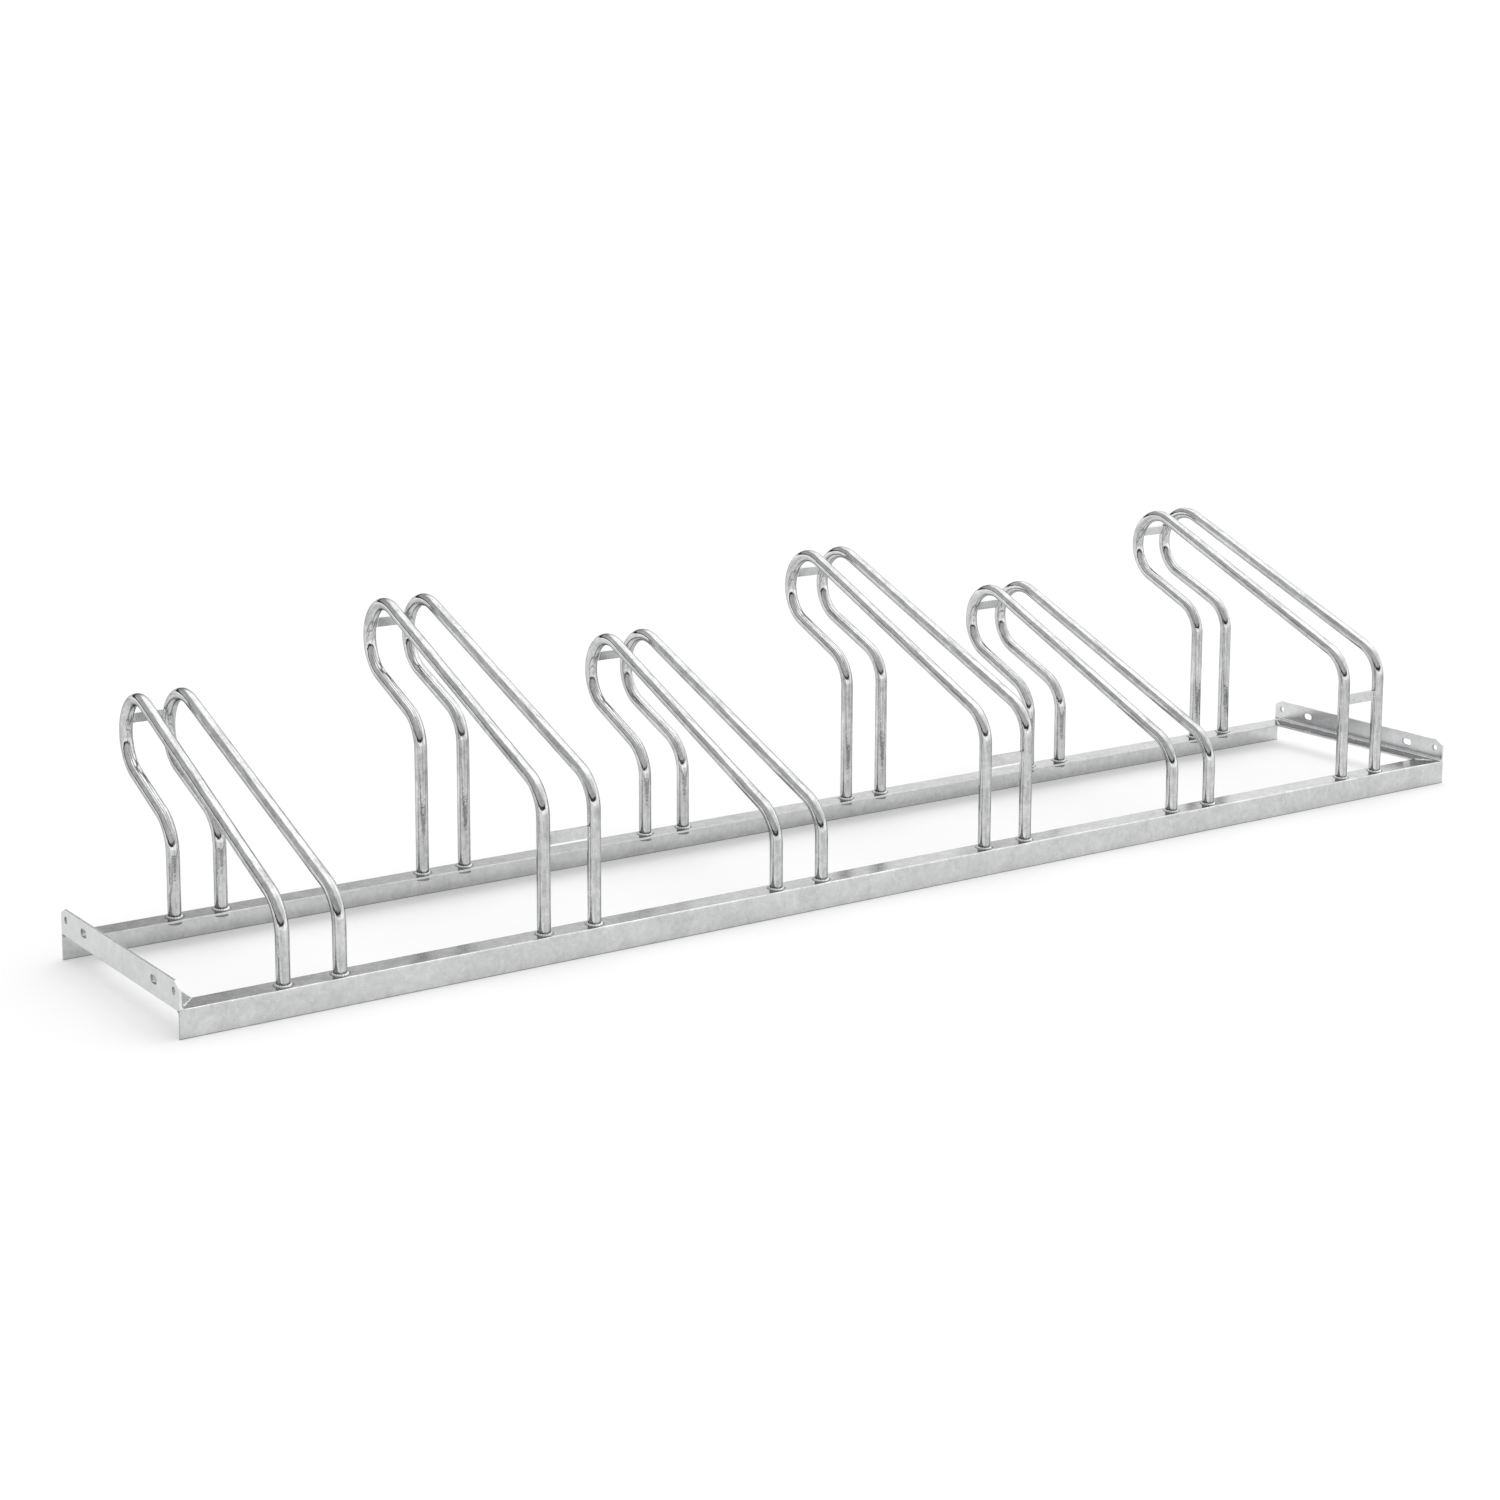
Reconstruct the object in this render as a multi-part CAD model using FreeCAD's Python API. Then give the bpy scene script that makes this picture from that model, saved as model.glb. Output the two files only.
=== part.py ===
import FreeCAD, Part
import math
import os

# Six-bay floor bike rack of galvanised steel, in millimetres.
# X runs along the rack from left to right, Y from its front to its back, Z up.
# The origin is on the floor, under the middle of the whole rack.
# Two long rails and two short end angles are welded into a mitred frame. Each
# bay holds a wheel between two bent tube hoops, whose feet go through the rails.
# Every piece is drawn from the frame's front left corner and moved at the end.

V = FreeCAD.Vector
ALONG = V(1, 0, 0)
BACK = V(0, 1, 0)
UP = V(0, 0, 1)

# --- Bays ---------------------------------------------------------------------
BAY_COUNT = 6
BAY_PITCH = 351.0  # one wheel's middle to the next
END_SPACING = 172.5  # each end of the frame to the middle of its nearest bay

# --- Frame of angle bar -------------------------------------------------------
FRAME_DEPTH = 356.0  # over the outside faces of both rails
RAIL_HEIGHT = 35.0  # upright leg of a rail, which stands on the floor
RAIL_FLANGE = 35.0
END_HEIGHT = 35.0  # upright leg of an end angle, from its flange's underside
END_FLANGE = 30.0
ANGLE_THICKNESS = 3.0
HEEL_RADIUS = 1.8  # outside corner between the legs
ROOT_RADIUS = 4.5  # inside corner between the legs
TOE_RADIUS = 0.8  # edges of both legs
CLIP_LENGTH = 12.0  # cut off the upper corners of the end angles, along the leg
CLIP_DROP = 6.5

# --- Holes in the end angles, to bolt racks together in a row -----------------
SLOT_WIDTH = 10.0
SLOT_LENGTH = 18.0
SLOT_SETBACK = 72.0  # from each end of the bar to the middle of the slot
SLOT_ABOVE_HEEL = 20.0
HOLE_DIAMETER = 9.0
HOLE_SETBACK = 15.0
HOLE_ABOVE_HEEL = 22.0

# --- Bent tube hoops ----------------------------------------------------------
TUBE_DIAMETER = 17.2
TUBE_WALL = 2.0
BEND_RADIUS = 51.6  # of every bend, on the tube's axis
SLOPE = 22.5  # degrees between the sloping runs and the floor
LOW_SHOULDER = 127.5  # height where the axes of front leg and upper slope cross
HIGH_LIFT = 87.0  # how much longer the legs of a high hoop are
SLOPE_LENGTH = 480.0  # from the shoulder up to the nose of the hoop
FRONT_SPACING = 73.0  # between the axes of a bay's front legs
REAR_SPACING = 63.0  # between those of its rear legs: bays narrow to the back
FOOT_SETBACK = 17.0  # from the outside face of the rail to the leg's axis
FOOT_DROP = 6.0  # how far a foot reaches below its flange
FOOT_CLEARANCE = 0.2  # all round a foot in its hole

# --- Flat spreader bars between the two hoops of a bay ------------------------
SPREADER_HEIGHT = 15.0
SPREADER_THICKNESS = 5.0
SPREADER_BELOW_SHOULDER = 60.0  # the bar between the front legs of a high bay
BUTT_GAP = 0.1  # between a bar's square end and the tube

# --- Weld beads ---------------------------------------------------------------
FOOT_WELD_LEG = 2.6
FOOT_WELD_CROWN_HEIGHT = 0.5
SPREADER_WELD_RADIUS = 2.2
MITRE_WELD_WIDTH = 4.2
MITRE_WELD_HEIGHT = 1.4

# --- Sizes that follow from those above ---------------------------------------
RACK_LENGTH = 2 * END_SPACING + (BAY_COUNT - 1) * BAY_PITCH
MID_LENGTH = ALONG * (RACK_LENGTH / 2)
MID_DEPTH = BACK * (FRAME_DEPTH / 2)
FLANGE_TOP = RAIL_HEIGHT
FLANGE_UNDERSIDE = FLANGE_TOP - ANGLE_THICKNESS
END_TOP = FLANGE_UNDERSIDE + END_HEIGHT
MITRE = V(END_FLANGE, RAIL_FLANGE, 0)  # outside to inside corner of the frame
TUBE_RADIUS = TUBE_DIAMETER / 2
BORE_RADIUS = TUBE_RADIUS - TUBE_WALL
FOOT_BOTTOM = FLANGE_UNDERSIDE - FOOT_DROP
FOOT_RUN = FRAME_DEPTH - 2 * FOOT_SETBACK
COS_SLOPE = math.cos(math.radians(SLOPE))
SIN_SLOPE = math.sin(math.radians(SLOPE))
SHORTEST_EDGE = 1e-6


def bay_middle(bay):
    return END_SPACING + (bay - 1) * BAY_PITCH


def is_high(bay):
    """Every second bay is high, so that neighbouring handlebars miss."""
    return bay % 2 == 0


def spacing_at(y):
    """Distance between the axes of a bay's two hoops at a depth in the rack."""
    share = (y - FOOT_SETBACK) / FOOT_RUN
    return FRONT_SPACING + (REAR_SPACING - FRONT_SPACING) * share


# --- Outlines and solids used throughout --------------------------------------


def rounded_line(points, radii, closed=False):
    """A wire through points, with a tangent arc of its radius at each corner.

    A closed line has a corner at every point, an open one at its inner points.
    """
    count = len(points)
    corners = range(count) if closed else range(1, count - 1)
    arcs = {}
    for corner, radius in zip(corners, radii):
        here = points[corner]
        before = (points[corner - 1] - here).normalize()
        after = (points[(corner + 1) % count] - here).normalize()
        half_angle = before.getAngle(after) / 2
        reach = radius / math.tan(half_angle)
        depth = radius / math.sin(half_angle) - radius
        middle = here + (before + after).normalize() * depth
        arcs[corner] = (here + before * reach, middle, here + after * reach)
    edges = []
    for corner in range(count if closed else count - 1):
        following = (corner + 1) % count
        start = arcs[corner][-1] if corner in arcs else points[corner]
        end = arcs[following][0] if following in arcs else points[following]
        if (end - start).Length > SHORTEST_EDGE:
            edges.append(Part.makeLine(start, end))
        if following in arcs:
            edges.append(Part.Arc(*arcs[following]).toShape())
    return Part.Wire(edges)


def prism(points, run):
    """A straight-sided outline pushed along run."""
    return Part.Face(Part.makePolygon(points + points[:1])).extrude(run)


def beyond_line(start, end, side, run):
    """A block to cut with, on one side of a line and longer than it both ways."""
    first = start * 2 - end
    last = end * 2 - start
    return prism([first, last, last + side, first + side], run)


def with_mirror(shape, centre, normal):
    return [shape, shape.mirror(centre, normal)]


# --- Frame --------------------------------------------------------------------


def angle_bar(heel, flange, upright, run):
    """Angle bar with its outside corner at heel and its legs given as vectors."""
    into_flange = V(flange).normalize() * ANGLE_THICKNESS
    into_upright = V(upright).normalize() * ANGLE_THICKNESS
    outline = [
        heel,
        heel + flange,
        heel + flange + into_upright,
        heel + into_flange + into_upright,
        heel + into_flange + upright,
        heel + upright,
    ]
    radii = [HEEL_RADIUS, TOE_RADIUS, TOE_RADIUS, ROOT_RADIUS, TOE_RADIUS, TOE_RADIUS]
    return Part.Face(rounded_line(outline, radii, closed=True)).extrude(run)


def foot_points(spacing):
    """Floor points under the front feet of all bays at a leg spacing."""
    return [
        V(bay_middle(bay) + side * spacing / 2, FOOT_SETBACK, 0)
        for bay in range(1, BAY_COUNT + 1)
        for side in (-1, 1)
    ]


def rail(leg_spacing):
    """A rail at the front of the frame, with its flange turned inwards."""
    bar = angle_bar(
        UP * FLANGE_TOP, BACK * RAIL_FLANGE, UP * -RAIL_HEIGHT, ALONG * RACK_LENGTH
    )
    mitre_start = UP * FLANGE_UNDERSIDE
    mitre_cut = beyond_line(
        mitre_start,
        mitre_start + MITRE,
        ALONG * -2 * END_FLANGE,
        UP * ANGLE_THICKNESS,
    )
    hole_radius = TUBE_RADIUS + FOOT_CLEARANCE
    holes = [
        Part.makeCylinder(hole_radius, RAIL_HEIGHT, point + UP * FLANGE_UNDERSIDE)
        for point in foot_points(leg_spacing)
    ]
    return bar.cut(with_mirror(mitre_cut, MID_LENGTH, ALONG) + holes)


def joining_slot():
    """Cutter for the slot near the front of the end angle."""
    centre = V(-ANGLE_THICKNESS, SLOT_SETBACK, FLANGE_UNDERSIDE + SLOT_ABOVE_HEEL)
    half_length = BACK * (SLOT_LENGTH / 2)
    half_width = UP * (SLOT_WIDTH / 2)
    outline = [
        centre - half_length - half_width,
        centre + half_length - half_width,
        centre + half_length + half_width,
        centre - half_length + half_width,
    ]
    wire = rounded_line(outline, [SLOT_WIDTH / 2] * len(outline), closed=True)
    return Part.Face(wire).extrude(ALONG * 3 * ANGLE_THICKNESS)


def joining_hole():
    """Cutter for the round hole at the front of the end angle."""
    centre = V(-ANGLE_THICKNESS, HOLE_SETBACK, FLANGE_UNDERSIDE + HOLE_ABOVE_HEEL)
    return Part.makeCylinder(HOLE_DIAMETER / 2, 3 * ANGLE_THICKNESS, centre, ALONG)


def end_angle():
    """The left end angle: flange level with those of the rails, other leg up."""
    heel = UP * FLANGE_UNDERSIDE
    bar = angle_bar(heel, ALONG * END_FLANGE, UP * END_HEIGHT, BACK * FRAME_DEPTH)
    mitre_cut = beyond_line(
        heel, heel + MITRE, ALONG * 2 * END_FLANGE, UP * ANGLE_THICKNESS
    )
    clip_cut = beyond_line(
        V(-ANGLE_THICKNESS, 0, END_TOP - CLIP_DROP),
        V(-ANGLE_THICKNESS, CLIP_LENGTH, END_TOP),
        BACK * -2 * CLIP_LENGTH,
        ALONG * 3 * ANGLE_THICKNESS,
    )
    cutters = []
    for cutter in (mitre_cut, clip_cut, joining_slot(), joining_hole()):
        cutters += with_mirror(cutter, MID_DEPTH, BACK)
    return bar.cut(cutters)


# --- Hoops --------------------------------------------------------------------


def hoop_corners(bay):
    """Corners of the left hoop's axis, from its front foot to its rear foot."""
    middle = ALONG * bay_middle(bay)
    front = middle + V(-FRONT_SPACING / 2, FOOT_SETBACK, 0)
    rear = middle + V(-REAR_SPACING / 2, FOOT_SETBACK + FOOT_RUN, 0)
    backward = (rear - front).normalize()
    up_slope = backward * COS_SLOPE + UP * SIN_SLOPE
    above_slope = UP * COS_SLOPE - backward * SIN_SLOPE
    shoulder = front + UP * (LOW_SHOULDER + (HIGH_LIFT if is_high(bay) else 0))
    upper_nose = shoulder + up_slope * SLOPE_LENGTH
    lower_nose = upper_nose - above_slope * 2 * BEND_RADIUS
    overhang = (lower_nose - rear).dot(backward)
    knee = lower_nose - up_slope * (overhang / COS_SLOPE)
    foot_level = UP * FOOT_BOTTOM
    return [front + foot_level, shoulder, upper_nose, lower_nose, knee, rear + foot_level]


def overall_depth():
    """From the front of the frame to the backs of the hoops."""
    upper_nose, lower_nose, knee = hoop_corners(1)[2:5]
    up_slope = (lower_nose - knee).normalize()
    bend_centre = (upper_nose + lower_nose) * 0.5 - up_slope * BEND_RADIUS
    return bend_centre.y + BEND_RADIUS + TUBE_RADIUS


def left_hoop(bay, hollow=True):
    corners = hoop_corners(bay)
    axis = rounded_line(corners, [BEND_RADIUS] * (len(corners) - 2))
    section = Part.Face(Part.Wire(Part.makeCircle(TUBE_RADIUS, corners[0], UP)))
    if hollow:
        bore = Part.Face(Part.Wire(Part.makeCircle(BORE_RADIUS, corners[0], UP)))
        section = section.cut(bore).Faces[0]
    return axis.makePipe(section)


def right_of(shape, bay):
    """The mirror image of a shape across the middle of its bay."""
    return shape.mirror(ALONG * bay_middle(bay), ALONG)


# --- Spreader bars and their welds --------------------------------------------


def spreader(centre, height_way, face_way, end_gap=BUTT_GAP):
    """A flat bar across a bay, from tube to tube."""
    half_length = (spacing_at(centre.y) - TUBE_DIAMETER) / 2 - end_gap
    half_height = height_way * (SPREADER_HEIGHT / 2)
    half_thickness = face_way * (SPREADER_THICKNESS / 2)
    left_end = centre - ALONG * half_length
    outline = [
        left_end - half_height - half_thickness,
        left_end + half_height - half_thickness,
        left_end + half_height + half_thickness,
        left_end - half_height + half_thickness,
    ]
    return prism(outline, ALONG * 2 * half_length)


def spreader_welds(bay, centre, height_way, face_way):
    """Beads along both faces of a spreader bar, at both of its ends."""
    tube = left_hoop(bay, hollow=False)
    bar_into_tubes = spreader(centre, height_way, face_way, end_gap=-TUBE_RADIUS)
    tube_side = ALONG * (spacing_at(centre.y) / 2 - TUBE_RADIUS)
    beads = []
    for face in (-1, 1):
        corner = centre - tube_side + face_way * (face * SPREADER_THICKNESS / 2)
        start = corner - height_way * (SPREADER_HEIGHT / 2)
        rod = Part.makeCylinder(SPREADER_WELD_RADIUS, SPREADER_HEIGHT, start, height_way)
        bead = rod.cut([tube, bar_into_tubes])
        beads += bead.Solids + right_of(bead, bay).Solids
    return beads


def top_spreader_place(bay):
    """Middle of the bar at the nose of a bay's hoops, and the ways it faces."""
    upper_nose, lower_nose = hoop_corners(bay)[2:4]
    nose = (upper_nose + lower_nose) * 0.5
    centre = V(bay_middle(bay), nose.y, nose.z)
    return centre, V(0, -SIN_SLOPE, COS_SLOPE), V(0, COS_SLOPE, SIN_SLOPE)


def front_spreader_place(bay):
    """Middle of the bar between the front legs of a bay, and the ways it faces."""
    shoulder = hoop_corners(bay)[1]
    height = shoulder.z - SPREADER_BELOW_SHOULDER
    return V(bay_middle(bay), shoulder.y, height), UP, BACK


# --- Other welds --------------------------------------------------------------


def foot_weld():
    """The bead round a tube foot, standing on the floor at the origin."""
    inner = V(TUBE_RADIUS, 0, 0)
    outer = inner + ALONG * FOOT_WELD_LEG
    top = inner + UP * FOOT_WELD_LEG
    outward = (ALONG + UP).normalize()
    crest = (outer + top) * 0.5 + outward * FOOT_WELD_CROWN_HEIGHT
    edges = [
        Part.makeLine(inner, outer),
        Part.Arc(outer, crest, top).toShape(),
        Part.makeLine(top, inner),
    ]
    return Part.Face(Part.Wire(edges)).revolve(V(), UP, 360)


def foot_welds(leg_spacing):
    """Foot beads on the flange of the front rail."""
    beads = []
    for point in foot_points(leg_spacing):
        bead = foot_weld()
        bead.translate(point + UP * FLANGE_TOP)
        beads.append(bead)
    return Part.makeCompound(beads)


def mitre_weld():
    """The bead over the mitre at the front left corner."""
    way = V(MITRE).normalize()
    half_width = way.cross(UP) * (MITRE_WELD_WIDTH / 2)
    first_x = ANGLE_THICKNESS + ROOT_RADIUS + MITRE_WELD_WIDTH / 2
    last_x = END_FLANGE - MITRE_WELD_WIDTH / 2
    start = MITRE * (first_x / END_FLANGE) + UP * FLANGE_TOP
    run = MITRE * ((last_x - first_x) / END_FLANGE)
    crest = start + UP * MITRE_WELD_HEIGHT
    edges = [
        Part.Arc(start - half_width, crest, start + half_width).toShape(),
        Part.makeLine(start + half_width, start - half_width),
    ]
    return Part.Face(Part.Wire(edges)).extrude(run)


def corner_welds():
    beads = []
    for left_bead in with_mirror(mitre_weld(), MID_DEPTH, BACK):
        beads += with_mirror(left_bead, MID_LENGTH, ALONG)
    return Part.makeCompound(beads)


# --- The whole rack -----------------------------------------------------------


def build():
    parts = {
        "front_rail": rail(FRONT_SPACING),
        "rear_rail": rail(REAR_SPACING).mirror(MID_DEPTH, BACK),
        "left_end_angle": end_angle(),
        "right_end_angle": end_angle().mirror(MID_LENGTH, ALONG),
        "front_foot_welds": foot_welds(FRONT_SPACING),
        "rear_foot_welds": foot_welds(REAR_SPACING).mirror(MID_DEPTH, BACK),
        "corner_welds": corner_welds(),
    }
    top_beads = []
    front_beads = []
    for bay in range(1, BAY_COUNT + 1):
        hoop = left_hoop(bay)
        parts[f"bay_{bay}_left_hoop"] = hoop
        parts[f"bay_{bay}_right_hoop"] = right_of(hoop, bay)
        place = top_spreader_place(bay)
        parts[f"bay_{bay}_top_spreader"] = spreader(*place)
        top_beads += spreader_welds(bay, *place)
        if is_high(bay):
            place = front_spreader_place(bay)
            parts[f"bay_{bay}_front_spreader"] = spreader(*place)
            front_beads += spreader_welds(bay, *place)
    parts["top_spreader_welds"] = Part.makeCompound(top_beads)
    parts["front_spreader_welds"] = Part.makeCompound(front_beads)
    return parts


os.makedirs("parts", exist_ok=True)
to_origin = V(-RACK_LENGTH / 2, -overall_depth() / 2, 0)
for name, shape in build().items():
    shape.translate(to_origin)
    shape.exportStep(f"parts/{name}.step")
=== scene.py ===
import bpy
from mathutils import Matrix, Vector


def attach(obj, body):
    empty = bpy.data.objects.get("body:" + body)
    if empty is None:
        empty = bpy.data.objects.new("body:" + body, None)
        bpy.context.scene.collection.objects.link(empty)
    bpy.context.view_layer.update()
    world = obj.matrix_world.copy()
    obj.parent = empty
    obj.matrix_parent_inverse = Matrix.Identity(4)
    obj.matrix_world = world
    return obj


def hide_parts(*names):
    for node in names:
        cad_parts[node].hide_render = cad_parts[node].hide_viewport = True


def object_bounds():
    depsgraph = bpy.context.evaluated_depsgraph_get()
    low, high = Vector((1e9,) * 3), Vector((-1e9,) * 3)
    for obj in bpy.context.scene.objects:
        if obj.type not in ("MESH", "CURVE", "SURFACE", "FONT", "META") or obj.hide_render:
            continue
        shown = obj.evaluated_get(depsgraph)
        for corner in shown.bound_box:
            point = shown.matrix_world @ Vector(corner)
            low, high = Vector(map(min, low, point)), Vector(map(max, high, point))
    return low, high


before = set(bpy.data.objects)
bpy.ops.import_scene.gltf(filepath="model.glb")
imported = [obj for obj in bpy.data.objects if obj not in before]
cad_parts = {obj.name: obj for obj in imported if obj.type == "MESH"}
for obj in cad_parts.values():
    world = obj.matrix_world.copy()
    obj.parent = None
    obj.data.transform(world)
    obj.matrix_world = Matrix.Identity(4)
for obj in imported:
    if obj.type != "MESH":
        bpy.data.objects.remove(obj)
CAD_BOX = [list(corner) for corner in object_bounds()]

import bpy
import math
import random
from mathutils import Matrix, Vector, noise

# A galvanised floor bike rack in a plain white studio, in metres.
# The hoops and the weld beads get finer meshes than the CAD model's, from the
# same sizes. The angle bars and flat bars keep their CAD meshes.

MM = 0.001

# --- Sizes shared with the CAD model ------------------------------------------
BAYS = range(1, 7)
HIGH_BAYS = (2, 4, 6)
BAY_PITCH = 351 * MM
END_SPACING = 172.5 * MM
RACK_LENGTH = 2100 * MM
FRAME_DEPTH = 356 * MM
FLANGE_TOP = 35 * MM
FLANGE_UNDERSIDE = 32 * MM
RAIL_FLANGE = 35 * MM
END_FLANGE = 30 * MM
TUBE_RADIUS = 8.6 * MM
BORE_RADIUS = 6.6 * MM
BEND_RADIUS = 51.6 * MM
SLOPE = math.radians(22.5)
LOW_SHOULDER = 127.5 * MM
HIGH_LIFT = 87 * MM
SLOPE_LENGTH = 480 * MM
FRONT_SPACING = 73 * MM
REAR_SPACING = 63 * MM
FOOT_SETBACK = 17 * MM
FOOT_DROP = 6 * MM
SPREADER_HEIGHT = 15 * MM
SPREADER_THICKNESS = 5 * MM
SPREADER_BELOW_SHOULDER = 60 * MM
FOOT_WELD_LEG = 2.6 * MM
FOOT_WELD_CROWN = 0.5 * MM
SPREADER_WELD_RADIUS = 2.2 * MM
MITRE_WELD_WIDTH = 4.2 * MM
MITRE_WELD_HEIGHT = 1.4 * MM
MITRE_WELD_START = 9.6 * MM  # along the rack, from the corner of the frame
SLOT_SETBACK = 72 * MM  # of the slots in the end angles, from the rails' outer faces
SLOT_MIDDLE = 52 * MM  # above the floor
SLOT_HALF_STRAIGHT = 4 * MM
SLOT_RADIUS = 5 * MM
HOLE_SETBACK = 15 * MM
HOLE_MIDDLE = 54 * MM
HOLE_RADIUS = 4.5 * MM

UP = Vector((0, 0, 1))
FRONT_LEFT = Vector((-RACK_LENGTH / 2, CAD_BOX[0][1], 0))  # corner of the rack, on the floor

# --- Detail that the meshes add -----------------------------------------------
SHARP_ANGLE = math.radians(50)  # a fold sharper than this isn't shaded smooth
RUN_STEP = 4 * MM  # between rings on a straight run of tube
BEND_STEP = math.radians(3)
TUBE_SIDES = 48
BEND_FLATTENING = 0.25 * MM  # a bent tube gives a little on the outside of a bend
ZINC_WAVES = 0.14 * MM  # how much the zinc on a tube varies in thickness
BROAD_WAVES = 55  # its waves per metre
FINE_WAVES = 190
RIPPLE_DEPTH = 0.24  # share of a bead's size
SWELL_DEPTH = 0.06  # how much a bead's size drifts besides, likewise
RIPPLES_ROUND_FOOT = 17
RIPPLES_ON_SPREADER = 6
RIPPLES_ON_MITRE = 11
FOOT_BEAD_FILL = 0.86  # the beads round the feet, as a share of the CAD model's
BEAD_SINK = 0.4 * MM  # how far the backs of these beads lie inside the tubes
FOOT_BEAD_SECTIONS = 132
FOOT_BEAD_FACETS = 8  # across the face of each section
ROD_BEAD_SECTIONS = 40
ROD_BEAD_SIDES = 20
FOOT_BEAD_SEED = 11
SPREADER_BEAD_SEED = 23
CORNER_BEAD_SEED = 37


# --- Mesh helpers -------------------------------------------------------------


def new_piece(name, points, faces, material, replaced):
    """A smooth-shaded piece of the rack, in place of one or more CAD nodes."""
    mesh = bpy.data.meshes.new(name)
    mesh.from_pydata([tuple(point) for point in points], [], faces)
    mesh.materials.append(material)
    mesh.update()
    mesh.shade_smooth()
    mesh.set_sharp_from_angle(angle=SHARP_ANGLE)
    piece = bpy.data.objects.new(name, mesh)
    bpy.context.scene.collection.objects.link(piece)
    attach(piece, "root")
    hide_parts(*replaced)
    return piece


def ring_faces(first, second, count):
    """Faces between two rings of points, given by their first numbers."""
    faces = []
    for side in range(count):
        after = (side + 1) % count
        faces.append((first + side, first + after, second + after, second + side))
    return faces


# --- Hoops --------------------------------------------------------------------


def bay_middle(bay):
    return END_SPACING + (bay - 1) * BAY_PITCH


def hoop_corners(bay, side):
    """Corners of a hoop's axis from its front foot to its rear foot."""
    middle = bay_middle(bay)
    rear_y = FRAME_DEPTH - FOOT_SETBACK
    front = FRONT_LEFT + Vector((middle + side * FRONT_SPACING / 2, FOOT_SETBACK, 0))
    rear = FRONT_LEFT + Vector((middle + side * REAR_SPACING / 2, rear_y, 0))
    backward = (rear - front).normalized()
    up_slope = backward * math.cos(SLOPE) + UP * math.sin(SLOPE)
    above_slope = UP * math.cos(SLOPE) - backward * math.sin(SLOPE)
    lift = HIGH_LIFT if bay in HIGH_BAYS else 0
    shoulder = front + UP * (LOW_SHOULDER + lift)
    upper_nose = shoulder + up_slope * SLOPE_LENGTH
    lower_nose = upper_nose - above_slope * 2 * BEND_RADIUS
    overhang = (lower_nose - rear).dot(backward)
    knee = lower_nose - up_slope * (overhang / math.cos(SLOPE))
    foot = UP * (FLANGE_UNDERSIDE - FOOT_DROP)
    return [front + foot, shoulder, upper_nose, lower_nose, knee, rear + foot]


def hoop_axis(corners):
    """Stations on the axis: the point, the way it runs, and how it bulges in a bend."""
    stations = []
    start = corners[0]
    for before, corner, after in zip(corners, corners[1:], corners[2:]):
        back = (before - corner).normalized()
        onward = (after - corner).normalized()
        half_angle = back.angle(onward) / 2
        reach = BEND_RADIUS / math.tan(half_angle)
        centre = corner + (back + onward).normalized() * BEND_RADIUS / math.sin(half_angle)
        bend_start = corner + back * reach
        stations += straight_run(start, bend_start, -back)
        turn = math.pi - 2 * half_angle
        spoke = bend_start - centre
        axle = spoke.cross(-back).normalized()
        steps = max(2, round(turn / BEND_STEP))
        for step in range(1, steps):
            swing = Matrix.Rotation(turn * step / steps, 3, axle)
            out = swing @ spoke
            bulge = out.normalized() * math.sin(math.pi * step / steps)
            stations.append((centre + out, swing @ -back, bulge))
        start = corner + onward * reach
    stations += straight_run(start, corners[-1], onward)
    return stations


def straight_run(start, end, way):
    """Stations from start to end, or a single one where two bends meet."""
    steps = round((end - start).length / RUN_STEP)
    if steps == 0:
        return [(start, way, Vector())]
    return [(start.lerp(end, step / steps), way, Vector()) for step in range(steps + 1)]


def zinc_dip(point):
    """How far the zinc stays below its fullest, between 0 and ZINC_WAVES."""
    broad = noise.noise(point * BROAD_WAVES)
    fine = noise.noise(point * FINE_WAVES)
    return ZINC_WAVES * min(max(0.5 + 0.45 * broad + 0.3 * fine, 0), 1)


def ring_spokes(way, across):
    """Angle and direction of each point of a ring round the axis of a tube."""
    level = way.cross(across)
    for side in range(TUBE_SIDES):
        angle = 2 * math.pi * side / TUBE_SIDES
        yield angle, across * math.cos(angle) + level * math.sin(angle)


def hoop_mesh(corners):
    """Points, faces and grain of a bent tube with open ends.

    The grain of a point outside is how far along the tube it is, and where across it.
    """
    stations = hoop_axis(corners)
    across = (corners[1] - corners[0]).cross(corners[-1] - corners[0]).normalized()
    points = []
    grain = []
    travelled = 0
    for number, (centre, way, bulge) in enumerate(stations):
        if number:
            travelled += (centre - stations[number - 1][0]).length
        for angle, spoke in ring_spokes(way, across):
            give = BEND_FLATTENING * max(spoke.dot(bulge), 0) ** 2
            radius = TUBE_RADIUS - zinc_dip(centre + spoke * TUBE_RADIUS) - give
            points.append(centre + spoke * radius)
            sideways = spoke.dot(across) * TUBE_RADIUS
            grain.append((travelled, sideways, math.sin(angle) * TUBE_RADIUS))
    outside = len(points)
    for centre, way, _ in stations:
        points += [centre + spoke * BORE_RADIUS for _, spoke in ring_spokes(way, across)]
    grain += [(0, 0, 0)] * (len(points) - outside)
    faces = []
    for ring in range(len(stations) - 1):
        first = ring * TUBE_SIDES
        faces += ring_faces(first, first + TUBE_SIDES, TUBE_SIDES)
        faces += ring_faces(outside + first + TUBE_SIDES, outside + first, TUBE_SIDES)
    last = outside - TUBE_SIDES
    faces += ring_faces(outside, 0, TUBE_SIDES)
    faces += ring_faces(last, outside + last, TUBE_SIDES)
    return points, faces, grain


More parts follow.
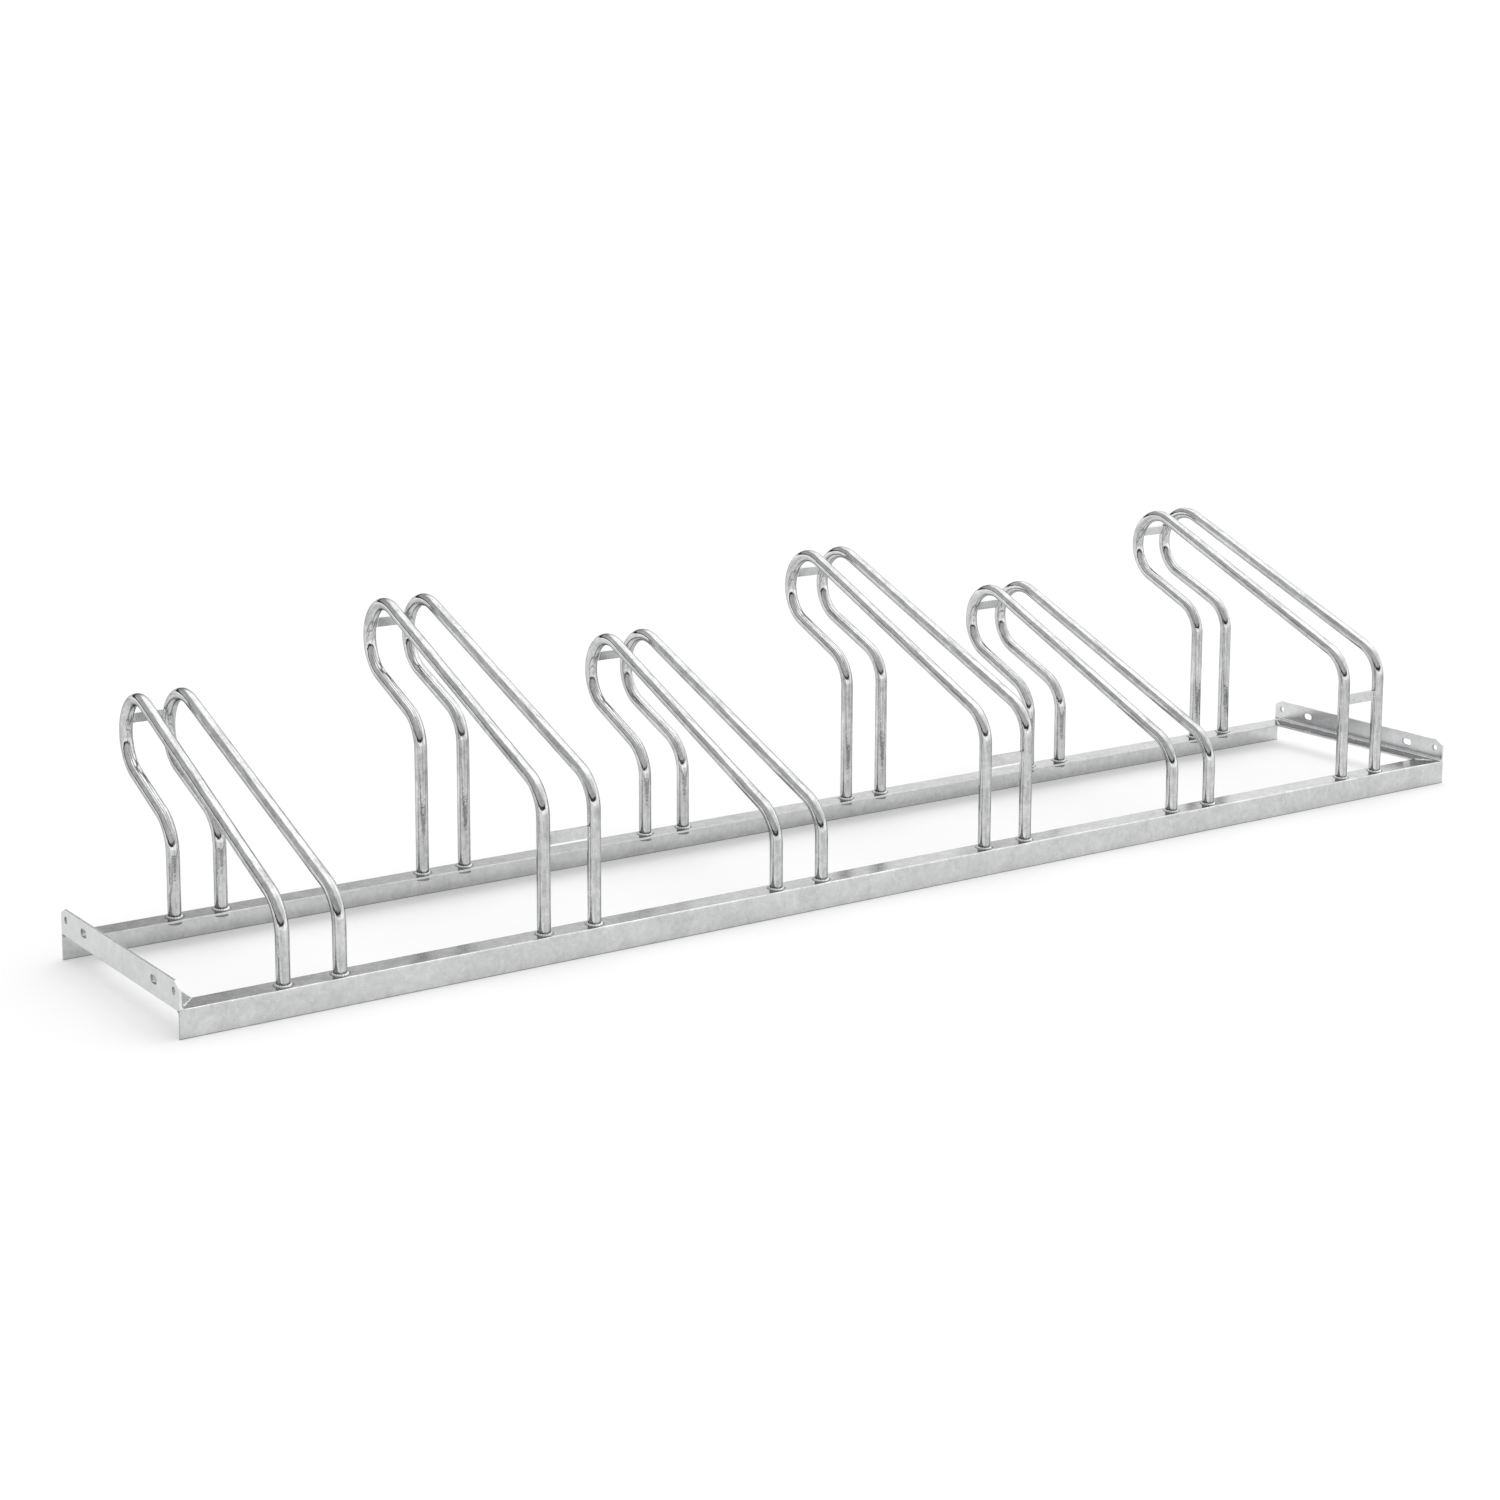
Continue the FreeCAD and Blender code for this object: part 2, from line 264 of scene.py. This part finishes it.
def build_hoops():
    for bay in BAYS:
        for side, word in ((-1, "left"), (1, "right")):
            points, faces, grain = hoop_mesh(hoop_corners(bay, side))
            piece = new_piece(f"bay_{bay}_{word}_tube", points, faces, TUBE_ZINC,
                              [f"bay_{bay}_{word}_hoop"])
            layer = piece.data.attributes.new("grain", "FLOAT_VECTOR", "POINT")
            layer.data.foreach_set("vector", [value for place in grain for value in place])


# --- Weld beads ---------------------------------------------------------------


def ripple(turns, lean, random_source):
    """How big a bead is, as a share of its full size, at places along and across it."""
    start = random_source.uniform(0, 2 * math.pi)
    drift = random_source.uniform(0.3, 0.8)
    beat = random_source.uniform(1.0, 2.6)

    def size(share, across):
        wander = drift * math.sin(2 * math.pi * beat * share + start)
        wave = math.sin(2 * math.pi * turns * share + lean * across + wander + start)
        valley = (0.5 - 0.5 * wave) ** 1.5
        swell = 0.5 + 0.5 * math.sin(wander * 5)
        return 1 - RIPPLE_DEPTH * valley - SWELL_DEPTH * swell

    return size


def foot_bead(foot, random_source):
    """A rippled bead round a tube foot, standing on the flange at foot."""
    size = ripple(RIPPLES_ROUND_FOOT, 1.6, random_source)
    points = []
    for section in range(FOOT_BEAD_SECTIONS):
        share = section / FOOT_BEAD_SECTIONS
        mirrored = min(share, 1 - share)  # so that both ends of the bead meet
        way = Vector((math.cos(2 * math.pi * share), math.sin(2 * math.pi * share), 0))
        back = foot + way * (TUBE_RADIUS - BEAD_SINK)
        points.append(back)
        for step in range(FOOT_BEAD_FACETS + 1):
            lean = step / FOOT_BEAD_FACETS
            scale = FOOT_BEAD_FILL * size(mirrored, lean)
            out = FOOT_WELD_LEG * (1 - lean)
            rise = FOOT_WELD_LEG * lean
            crown = FOOT_WELD_CROWN * 4 * lean * (1 - lean) / math.sqrt(2)
            points.append(foot + way * (TUBE_RADIUS + (out + crown) * scale)
                          + UP * ((rise + crown) * scale))
        points.append(back + UP * FOOT_WELD_LEG * FOOT_BEAD_FILL * size(mirrored, 0))
    count = len(points) // FOOT_BEAD_SECTIONS
    faces = []
    for section in range(FOOT_BEAD_SECTIONS):
        after = (section + 1) % FOOT_BEAD_SECTIONS
        faces += ring_faces(section * count, after * count, count)
    return points, faces


def rod_bead(start, run, half_width, half_height, size, flat_base=False):
    """A rippled bead with round ends along run, with its half sizes given as vectors."""
    points = [start]
    for section in range(1, ROD_BEAD_SECTIONS):
        share = section / ROD_BEAD_SECTIONS
        end_radius = max(half_width.length, half_height.length)
        from_end = min(share, 1 - share) * run.length / end_radius
        rounded = math.sqrt(max(1 - (1 - min(from_end, 1)) ** 2, 0))
        for side in range(ROD_BEAD_SIDES):
            angle = 2 * math.pi * side / ROD_BEAD_SIDES
            reach = rounded * size(share, math.cos(angle))
            lift = math.sin(angle)
            if flat_base:
                lift = max(lift, 0)
            points.append(start + run * share + half_width * (math.cos(angle) * reach)
                          + half_height * (lift * reach))
    points.append(start + run)
    faces = rod_cap(0, 1, backward=True)
    for section in range(ROD_BEAD_SECTIONS - 2):
        first = 1 + section * ROD_BEAD_SIDES
        faces += ring_faces(first, first + ROD_BEAD_SIDES, ROD_BEAD_SIDES)
    last = len(points) - 1
    faces += rod_cap(last, last - ROD_BEAD_SIDES)
    return points, faces


def rod_cap(tip, first, backward=False):
    """Faces from the tip of a rod bead to the ring of points beside it."""
    faces = []
    for side in range(ROD_BEAD_SIDES):
        here = first + side
        after = first + (side + 1) % ROD_BEAD_SIDES
        faces.append((tip, after, here) if backward else (tip, here, after))
    return faces


def weld_piece(name, beads, replaced):
    """Several beads as one piece."""
    points = []
    faces = []
    for bead_points, bead_faces in beads:
        first = len(points)
        points += bead_points
        faces += [tuple(first + corner for corner in face) for face in bead_faces]
    new_piece(name, points, faces, WELD_ZINC, [replaced])


def build_foot_beads():
    random_source = random.Random(FOOT_BEAD_SEED)
    rows = (("front", FOOT_SETBACK, FRONT_SPACING),
            ("rear", FRAME_DEPTH - FOOT_SETBACK, REAR_SPACING))
    for row, depth, spacing in rows:
        beads = []
        for bay in BAYS:
            for side in (-1, 1):
                x = bay_middle(bay) + side * spacing / 2
                foot = FRONT_LEFT + Vector((x, depth, FLANGE_TOP))
                beads.append(foot_bead(foot, random_source))
        weld_piece(f"{row}_foot_beads", beads, f"{row}_foot_welds")


def spreader_beads(centre, height_way, face_way, random_source):
    """Beads along both faces of a flat bar, at both of its ends."""
    front = FOOT_SETBACK + FRONT_LEFT.y
    backward = (centre.y - front) / (FRAME_DEPTH - 2 * FOOT_SETBACK)
    spacing = FRONT_SPACING + (REAR_SPACING - FRONT_SPACING) * backward
    beads = []
    for side in (-1, 1):
        for face in (-1, 1):
            corner = centre + Vector((side * (spacing / 2 - TUBE_RADIUS), 0, 0))
            corner += face_way * (face * SPREADER_THICKNESS / 2)
            start = corner - height_way * (SPREADER_HEIGHT / 2)
            size = ripple(RIPPLES_ON_SPREADER, 1.2, random_source)
            beads.append(rod_bead(start, height_way * SPREADER_HEIGHT,
                                  Vector((-side * SPREADER_WELD_RADIUS, 0, 0)),
                                  face_way * (face * SPREADER_WELD_RADIUS), size))
    return beads


def build_spreader_beads():
    random_source = random.Random(SPREADER_BEAD_SEED)
    top = []
    front = []
    for bay in BAYS:
        shoulder, upper_nose, lower_nose = hoop_corners(bay, -1)[1:4]
        nose = (upper_nose + lower_nose) / 2
        middle = FRONT_LEFT.x + bay_middle(bay)
        top += spreader_beads(Vector((middle, nose.y, nose.z)),
                              Vector((0, -math.sin(SLOPE), math.cos(SLOPE))),
                              Vector((0, math.cos(SLOPE), math.sin(SLOPE))), random_source)
        if bay in HIGH_BAYS:
            height = shoulder.z - SPREADER_BELOW_SHOULDER
            front += spreader_beads(Vector((middle, shoulder.y, height)),
                                    UP, Vector((0, 1, 0)), random_source)
    weld_piece("top_spreader_beads", top, "top_spreader_welds")
    weld_piece("front_spreader_beads", front, "front_spreader_welds")


def build_corner_beads():
    """Beads over the mitres, from near the root of the end angle to its toe."""
    random_source = random.Random(CORNER_BEAD_SEED)
    beads = []
    run = END_FLANGE - MITRE_WELD_WIDTH / 2 - MITRE_WELD_START
    slant = RAIL_FLANGE / END_FLANGE
    frame_middle = FRONT_LEFT.y + FRAME_DEPTH / 2
    for end in (-1, 1):
        for row in (-1, 1):
            corner = Vector((end * RACK_LENGTH / 2, frame_middle + row * FRAME_DEPTH / 2, FLANGE_TOP))
            way = Vector((-end, -row * slant, 0))
            across = way.normalized().cross(UP) * (MITRE_WELD_WIDTH / 2)
            size = ripple(RIPPLES_ON_MITRE, 1.4, random_source)
            beads.append(rod_bead(corner + way * MITRE_WELD_START, way * run,
                                  across, UP * MITRE_WELD_HEIGHT, size, flat_base=True))
    weld_piece("corner_beads", beads, "corner_welds")


# --- Node helpers -------------------------------------------------------------


class Nodes:
    """A short way to write a node tree."""

    def __init__(self, tree):
        self.tree = tree
        tree.nodes.clear()

    def add(self, kind, **settings):
        node = self.tree.nodes.new(kind)
        for name, value in settings.items():
            setattr(node, name, value)
        return node

    def feed(self, socket, value):
        if isinstance(value, bpy.types.NodeSocket):
            self.tree.links.new(value, socket)
        else:
            socket.default_value = value

    def math(self, operation, first, second=0.0):
        node = self.add("ShaderNodeMath", operation=operation)
        self.feed(node.inputs[0], first)
        self.feed(node.inputs[1], second)
        return node.outputs[0]

    def distance(self, first, second):
        """How far apart two places are, from their distances along two axes."""
        squares = self.math("ADD", self.math("MULTIPLY", first, first),
                            self.math("MULTIPLY", second, second))
        return self.math("SQRT", squares)

    def axes(self, where):
        """The X, Y and Z of a place."""
        split = self.add("ShaderNodeSeparateXYZ")
        self.feed(split.inputs[0], where)
        return split.outputs

    def stretched(self, where, share):
        """A place with its X made smaller, which draws a pattern out along X."""
        node = self.add("ShaderNodeVectorMath", operation="MULTIPLY")
        self.feed(node.inputs[0], where)
        node.inputs[1].default_value = (share, 1.0, 1.0)
        return node.outputs[0]

    def noise(self, where, scale, detail=2.0, roughness=0.5, distortion=0.0):
        node = self.add("ShaderNodeTexNoise")
        self.feed(node.inputs["Vector"], where)
        node.inputs["Scale"].default_value = scale
        node.inputs["Detail"].default_value = detail
        node.inputs["Roughness"].default_value = roughness
        node.inputs["Distortion"].default_value = distortion
        return node.outputs["Fac"]

    def cells(self, where, scale):
        """Random grey for each crystal of the zinc."""
        node = self.add("ShaderNodeTexVoronoi", feature="F1")
        self.feed(node.inputs["Vector"], where)
        node.inputs["Scale"].default_value = scale
        grey = self.add("ShaderNodeRGBToBW")
        self.feed(grey.inputs[0], node.outputs["Color"])
        return grey.outputs[0]

    def spread(self, value, low, high, to_low, to_high, curve="LINEAR"):
        node = self.add("ShaderNodeMapRange", clamp=True, interpolation_type=curve)
        self.feed(node.inputs["Value"], value)
        node.inputs["From Min"].default_value = low
        node.inputs["From Max"].default_value = high
        node.inputs["To Min"].default_value = to_low
        node.inputs["To Max"].default_value = to_high
        return node.outputs["Result"]

    def smooth(self, value, low, high, to_low=0.0, to_high=1.0):
        return self.spread(value, low, high, to_low, to_high, curve="SMOOTHSTEP")

    def vary(self, pattern, amount, low=0.3, high=0.7):
        """From -amount to amount, over the range that a pattern mostly keeps to."""
        return self.spread(pattern, low, high, -amount, amount)


# --- Materials ----------------------------------------------------------------

# Noise scales of the zinc's patterns, per metre.
CLOUDS = 34.0
STREAKS = 55.0
CRYSTALS = 170.0
WAVES = 190.0
SPECKS = 360.0
GRAIN = 620.0
DRAWN_STREAKS = 150.0
DRAWN_RUNS = 170.0
DRAWN_LINES = 420.0

# Zinc reflects less towards grazing angles, most of all on the tubes.
FLAT_EDGE = 0.62
ROUND_EDGE = 0.45

# Where the painted shade and painted highlight start to fade and where they are gone.
SHADE_ON_FLANGE_FADE = (0.4 * MM, 2.6 * MM)  # painted shade, from the beads round the feet
SHADE_ON_TUBE_FADE = (0.8 * MM, 2.2 * MM)  # painted shade, above these beads
HEEL_HIGHLIGHT_FADE = (0.8 * MM, 1.6 * MM)  # painted highlight, from the planes that meet at a heel
RIM_FADE = (0.05 * MM, 0.35 * MM)  # painted shade in the slots and holes, outside an opening
CONTACT_SHADE_FADE = (0.5 * MM, 2.0 * MM)  # painted contact shade, above the floor

# How bright the zinc is painted in these patches of painted shade, as a share.
SHADED_FLANGE = 0.5
SHADED_TUBE = 0.45
SLOT_SHADED = 0.38
CONTACT_SHADED = 0.5


def foot_distance(n, where):
    """Distance from the axis of the nearest tube foot, level with the floor."""
    place = n.axes(where)
    front = FRONT_LEFT.y + FOOT_SETBACK
    rear = front + FRAME_DEPTH - 2 * FOOT_SETBACK
    from_first = n.math("SUBTRACT", place["X"], FRONT_LEFT.x + END_SPACING)
    from_middle = n.math("PINGPONG", from_first, BAY_PITCH / 2)
    half_spacing = n.spread(place["Y"], front, rear, FRONT_SPACING / 2, REAR_SPACING / 2)
    beside = n.math("SUBTRACT", from_middle, half_spacing)
    behind = n.math("PINGPONG", n.math("SUBTRACT", place["Y"], front), (rear - front) / 2)
    return n.distance(beside, behind)


def setback_in_frame(n, place):
    """Distance back from the outside of the front rail, or forward from the rear one's."""
    from_front = n.math("SUBTRACT", place["Y"], FRONT_LEFT.y)
    return n.math("PINGPONG", from_front, FRAME_DEPTH / 2)


def painted_heel_highlight(n, where):
    """1 on the rounded outside corners of the rails, where a highlight is painted into the zinc's
    colour.
    """
    place = n.axes(where)
    full, gone = HEEL_HIGHLIGHT_FADE
    near_top = n.smooth(place["Z"], FLANGE_TOP - gone, FLANGE_TOP - full)
    near_outside = n.smooth(setback_in_frame(n, place), full, gone, 1.0, 0.0)
    return n.math("MULTIPLY", near_top, near_outside)


def opening_share(n, setback, height, place, middle, half_straight, radius):
    """1 on the wall of one opening in an end angle, 0 from just outside its rim."""
    along = n.math("ABSOLUTE", n.math("SUBTRACT", setback, place))
    along = n.math("MAXIMUM", n.math("SUBTRACT", along, half_straight), 0.0)
    above = n.math("SUBTRACT", height, middle)
    full, gone = RIM_FADE
    return n.smooth(n.distance(along, above), radius + full, radius + gone, 1.0, 0.0)


def painted_slot_shade(n, where):
    """Painted shade on the walls of the slots and holes in the end angles, 1 elsewhere."""
    place = n.axes(where)
    setback = setback_in_frame(n, place)
    slot = opening_share(n, setback, place["Z"], SLOT_SETBACK, SLOT_MIDDLE,
                         SLOT_HALF_STRAIGHT, SLOT_RADIUS)
    hole = opening_share(n, setback, place["Z"], HOLE_SETBACK, HOLE_MIDDLE, 0.0, HOLE_RADIUS)
    return n.spread(n.math("MAXIMUM", slot, hole), 0.0, 1.0, 1.0, SLOT_SHADED)


def painted_contact_shade(n, where):
    """Painted contact shade along the edge that stands on the floor, 1 elsewhere."""
    return n.smooth(n.axes(where)["Z"], *CONTACT_SHADE_FADE, to_low=CONTACT_SHADED)


def painted_shade_round_feet(n, where, speck):
    """Painted shade just outside the beads round the tube feet, with a ragged edge."""
    beside_bead = n.math("SUBTRACT", foot_distance(n, where), TUBE_RADIUS + FOOT_WELD_LEG)
    ragged = n.math("ADD", beside_bead, n.vary(speck, 0.8 * MM))
    return n.smooth(ragged, *SHADE_ON_FLANGE_FADE, to_low=SHADED_FLANGE)


def painted_shade_above_beads(n, where, speck):
    """Painted shade just above the same beads, with a ragged edge."""
    above_bead = n.math("SUBTRACT", n.axes(where)["Z"], FLANGE_TOP + FOOT_WELD_LEG)
    ragged = n.math("ADD", above_bead, n.vary(speck, 0.5 * MM))
    return n.smooth(ragged, *SHADE_ON_TUBE_FADE, to_low=SHADED_TUBE)


def drawn_tone(n, along):
    """Lighter and darker lines that run along a tube."""
    runs = n.noise(n.stretched(along, 0.10), DRAWN_RUNS, detail=2.0)
    lines = n.noise(n.stretched(along, 0.16), DRAWN_LINES, detail=4.0, roughness=0.6)
    return n.math("ADD", n.spread(runs, 0.32, 0.68, -0.17, 0.11),
                  n.spread(lines, 0.34, 0.66, -0.16, 0.10))


def tinted(n, grey, bright):
    """A slightly blue grey, made lighter or darker."""
    colour = n.add("ShaderNodeMix", data_type="RGBA", blend_type="MULTIPLY")
    colour.inputs[0].default_value = 1.0
    colour.inputs[6].default_value = (grey * 0.995, grey, grey * 1.008, 1.0)
    n.feed(colour.inputs[7], bright)
    return colour.outputs[2]


def uneven_surface(n, where, wave, grain):
    """The way a surface faces that has waves and grain of these depths in mm."""
    height = n.math("ADD", n.math("MULTIPLY", n.noise(where, WAVES, detail=2.0), wave),
                    n.math("MULTIPLY", n.noise(where, GRAIN, detail=3.0), grain))
    bump = n.add("ShaderNodeBump")
    bump.inputs["Strength"].default_value = 1.0
    bump.inputs["Distance"].default_value = MM
    n.feed(bump.inputs["Height"], height)
    return bump.outputs["Normal"]


def galvanised(name, grey, mottle, rough, wave, grain, uneven=0.1, edge=FLAT_EDGE,
               drawn_lines_and_shade=False, painted_rail_light=False, slot_shade=False):
    """Zinc over steel: clouded and crystalline grey, with a slightly uneven surface.

    Drawn tube has lines along it, and painted shade in a ring just above each foot.
    The rails get painted shade on the flanges round the same feet, a painted highlight
    on their heels and painted contact shade along their lower edge. The end angles get
    painted shade on the walls of their slots and holes.
    """
    material = bpy.data.materials.new(name)
    material.use_nodes = True
    n = Nodes(material.node_tree)
    where = n.add("ShaderNodeTexCoord").outputs["Object"]
    cloud = n.noise(where, CLOUDS, detail=6.0, roughness=0.65, distortion=0.8)
    crystal = n.cells(where, CRYSTALS)
    speck = n.noise(where, SPECKS, detail=4.0, roughness=0.7)
    tone = n.math("ADD", n.vary(cloud, mottle, 0.32, 0.68), n.vary(crystal, 0.4 * mottle, 0.2, 0.8))
    tone = n.math("ADD", tone, n.vary(speck, 0.6 * mottle))
    if drawn_lines_and_shade:
        along = n.add("ShaderNodeAttribute", attribute_name="grain").outputs["Vector"]
        tone = n.math("ADD", tone, drawn_tone(n, along))
        streak = n.noise(n.stretched(along, 0.3), DRAWN_STREAKS, detail=4.0)
    else:
        streak = n.noise(where, STREAKS, detail=4.0, roughness=0.6)
    bright = n.math("ADD", tone, 1.0)
    if drawn_lines_and_shade:
        # painted shade in a ring on each tube just above its foot bead
        bright = n.math("MULTIPLY", bright, painted_shade_above_beads(n, where, speck))
    if painted_rail_light:
        # painted shade on the flanges round the tube feet
        bright = n.math("MULTIPLY", bright, painted_shade_round_feet(n, where, speck))
        # painted highlight along the rails' heels, varied by the clouds
        heel_highlight = n.math("MULTIPLY", painted_heel_highlight(n, where), n.spread(cloud, 0.3, 0.7, 0.05, 0.25))
        # painted contact shade along the rails' lower edge
        bright = n.math("MULTIPLY", n.math("ADD", bright, heel_highlight), painted_contact_shade(n, where))
    if slot_shade:
        # painted shade on the walls of the slots and holes
        bright = n.math("MULTIPLY", bright, painted_slot_shade(n, where))
    roughness = n.math("ADD", n.vary(streak, uneven * rough),
                       n.spread(crystal, 0.0, 1.0, 0.95 * rough, 1.05 * rough))
    shader = n.add("ShaderNodeBsdfPrincipled")
    shader.inputs["Metallic"].default_value = 1.0
    shader.inputs["Specular Tint"].default_value = (edge, edge, edge, 1.0)
    n.feed(shader.inputs["Base Color"], tinted(n, grey, bright))
    n.feed(shader.inputs["Roughness"], roughness)
    n.feed(shader.inputs["Normal"], uneven_surface(n, where, wave, grain))
    out = n.add("ShaderNodeOutputMaterial")
    n.feed(out.inputs["Surface"], shader.outputs["BSDF"])
    return material


RAIL_ZINC = galvanised("galvanised_rail", grey=0.60, mottle=0.09, rough=0.21,
                       wave=0.010, grain=0.003, painted_rail_light=True)
# The end angles are one zinc in a lit and a shaded copy: the left one's lighter grey is a painted
# reflection, the right one's darker grey painted shade.
LIT_END_ZINC = galvanised("galvanised_left_end", grey=0.79, mottle=0.06, rough=0.23,
                           wave=0.010, grain=0.003, slot_shade=True)
SHADED_END_ZINC = galvanised("galvanised_right_end", grey=0.68, mottle=0.08, rough=0.25,
                            wave=0.010, grain=0.003, slot_shade=True)
TUBE_ZINC = galvanised("galvanised_tube", grey=0.59, mottle=0.12, rough=0.075,
                       wave=0.13, grain=0.022, uneven=0.3, edge=ROUND_EDGE, drawn_lines_and_shade=True)
BAR_ZINC = galvanised("galvanised_bar", grey=0.60, mottle=0.10, rough=0.26,
                      wave=0.015, grain=0.004)
WELD_ZINC = galvanised("galvanised_weld", grey=0.64, mottle=0.16, rough=0.22,
                       wave=0.12, grain=0.02)


# --- The rack -----------------------------------------------------------------


def dress(node, material):
    """Give a CAD node its material."""
    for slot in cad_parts[node].material_slots:
        slot.material = material


dress("front_rail", RAIL_ZINC)
dress("rear_rail", RAIL_ZINC)
dress("left_end_angle", LIT_END_ZINC)
dress("right_end_angle", SHADED_END_ZINC)
for bay in BAYS:
    dress(f"bay_{bay}_top_spreader", BAR_ZINC)
for bay in HIGH_BAYS:
    dress(f"bay_{bay}_front_spreader", BAR_ZINC)
build_hoops()
build_foot_beads()
build_spreader_beads()
build_corner_beads()


# --- Studio -------------------------------------------------------------------

FLOOR_REACH = 150.0
FLOOR_WHITE = 0.96
FLOOR_GLOW = 0.36  # share of plain white in what the camera and the metal see of it

# The sky's borders are placed by the X, Y and Z of its directions: X to the right,
# Y to the back and Z up. Each fades between two values.
WALL_HEIGHT = 0.19
WALL_RISE = 0.13  # how much higher its upper edge is to the right than in the middle
WALL_FADE = (-0.02, 0.03)  # above that edge
GAP_FADE = (0.10, 0.20)  # above it too, where the room starts
GAP_END = (0.22, 0.50)  # to the right
SOFTBOX_WAY = (0.574, 0.0, 0.819)  # towards the middle of the overhead softbox
SOFTBOX_FADE = (0.48, 0.70)  # cosines of the angle from there
FRONT_FADE = (-0.50, 0.00)  # the softbox is weaker from the front
FRONT_SHARE = 0.40

SOFTBOX_LEVEL = 1.75
ROOM_LEVEL = 0.64
WALL_LEVEL = 1.5
GAP_LEVEL = 0.04  # share of the room's light that is left in the gap above the wall


def floor_material():
    """White paper, lit through a little: its shadows are pale, also in the metal."""
    material = bpy.data.materials.new("studio_floor")
    material.use_nodes = True
    n = Nodes(material.node_tree)
    shader = n.add("ShaderNodeBsdfPrincipled")
    shader.inputs["Base Color"].default_value = (FLOOR_WHITE, FLOOR_WHITE, FLOOR_WHITE, 1.0)
    shader.inputs["Roughness"].default_value = 1.0
    shader.inputs["Specular IOR Level"].default_value = 0.0
    glow = n.add("ShaderNodeEmission")
    path = n.add("ShaderNodeLightPath").outputs
    seen = n.math("MAXIMUM", path["Is Camera Ray"], path["Is Glossy Ray"])
    seen = n.math("MAXIMUM", seen, path["Is Transmission Ray"])
    mix = n.add("ShaderNodeMixShader")
    n.feed(mix.inputs[0], n.math("MULTIPLY", seen, FLOOR_GLOW))
    n.feed(mix.inputs[1], shader.outputs["BSDF"])
    n.feed(mix.inputs[2], glow.outputs["Emission"])
    out = n.add("ShaderNodeOutputMaterial")
    n.feed(out.inputs["Surface"], mix.outputs["Shader"])
    return material


def studio_floor():
    mesh = bpy.data.meshes.new("studio_floor")
    reach = FLOOR_REACH
    corners = [(-reach, -reach, 0), (reach, -reach, 0), (reach, reach, 0), (-reach, reach, 0)]
    mesh.from_pydata(corners, [], [(0, 1, 2, 3)])
    mesh.materials.append(floor_material())
    floor = bpy.data.objects.new("studio_floor", mesh)
    bpy.context.scene.collection.objects.link(floor)


def softbox_share(n, where, back):
    """1 in the middle of the softbox, 0 outside it, and less towards the front."""
    towards = n.add("ShaderNodeVectorMath", operation="DOT_PRODUCT")
    n.feed(towards.inputs[0], where)
    towards.inputs[1].default_value = SOFTBOX_WAY
    return n.math("MULTIPLY", n.smooth(towards.outputs["Value"], *SOFTBOX_FADE),
                  n.smooth(back, *FRONT_FADE, to_low=FRONT_SHARE))


def studio_world():
    """A low white wall all round, a dim gap above it, and a softbox overhead."""
    world = bpy.data.worlds.new("studio")
    bpy.context.scene.world = world
    world.use_nodes = True
    n = Nodes(world.node_tree)
    where = n.add("ShaderNodeTexCoord").outputs["Generated"]
    right, back, height = n.axes(where)
    softbox = softbox_share(n, where, back)
    room = n.math("ADD", n.math("MULTIPLY", softbox, SOFTBOX_LEVEL - ROOM_LEVEL), ROOM_LEVEL)
    wall_edge = n.math("ADD", n.math("MULTIPLY", right, WALL_RISE), WALL_HEIGHT)
    above_wall = n.math("SUBTRACT", height, wall_edge)
    beyond_gap = n.math("MAXIMUM", n.smooth(above_wall, *GAP_FADE), n.smooth(right, *GAP_END))
    room = n.math("MULTIPLY", room, n.spread(beyond_gap, 0.0, 1.0, GAP_LEVEL, 1.0))
    wall = n.smooth(above_wall, *WALL_FADE, WALL_LEVEL, 0.0)
    background = n.add("ShaderNodeBackground")
    n.feed(background.inputs["Strength"], n.math("MAXIMUM", room, wall))
    background.inputs["Color"].default_value = (1.0, 1.0, 1.0, 1.0)
    out = n.add("ShaderNodeOutputWorld")
    n.feed(out.inputs["Surface"], background.outputs[0])


# The camera's place, angles and lens were fitted to the photo, with less shift than
# the photo's own so that steep views of the rack stay in the picture.
CAMERA_AT = Vector((-2.24893, -3.07484, 1.06154))
CAMERA_YAW = math.radians(35.011)  # from +Y towards +X
CAMERA_DIP = math.radians(8.898)
CAMERA_ROLL = math.radians(0.211)
FOCAL_LENGTH = 66.608  # in mm, like the width of the sensor
SENSOR_WIDTH = 36.0
SHIFT_Y = -0.15
NEAREST = 0.05


def photo_camera():
    ahead = Vector((math.sin(CAMERA_YAW) * math.cos(CAMERA_DIP),
                    math.cos(CAMERA_YAW) * math.cos(CAMERA_DIP),
                    -math.sin(CAMERA_DIP)))
    level_right = Vector((math.cos(CAMERA_YAW), -math.sin(CAMERA_YAW), 0))
    level_up = level_right.cross(ahead)
    right = math.cos(CAMERA_ROLL) * level_right + math.sin(CAMERA_ROLL) * level_up
    up = ahead.cross(-right)
    turn = Matrix((right, up, -ahead)).transposed()
    lens = bpy.data.cameras.new("photo_camera")
    lens.sensor_width = SENSOR_WIDTH
    lens.lens = FOCAL_LENGTH
    lens.shift_y = SHIFT_Y
    lens.clip_start = NEAREST
    lens.clip_end = 4 * FLOOR_REACH
    camera = bpy.data.objects.new("photo_camera", lens)
    camera.matrix_world = Matrix.Translation(CAMERA_AT) @ turn.to_4x4()
    bpy.context.scene.collection.objects.link(camera)
    bpy.context.scene.camera = camera


studio_floor()
studio_world()
photo_camera()
bpy.context.scene.view_settings.view_transform = "Standard"
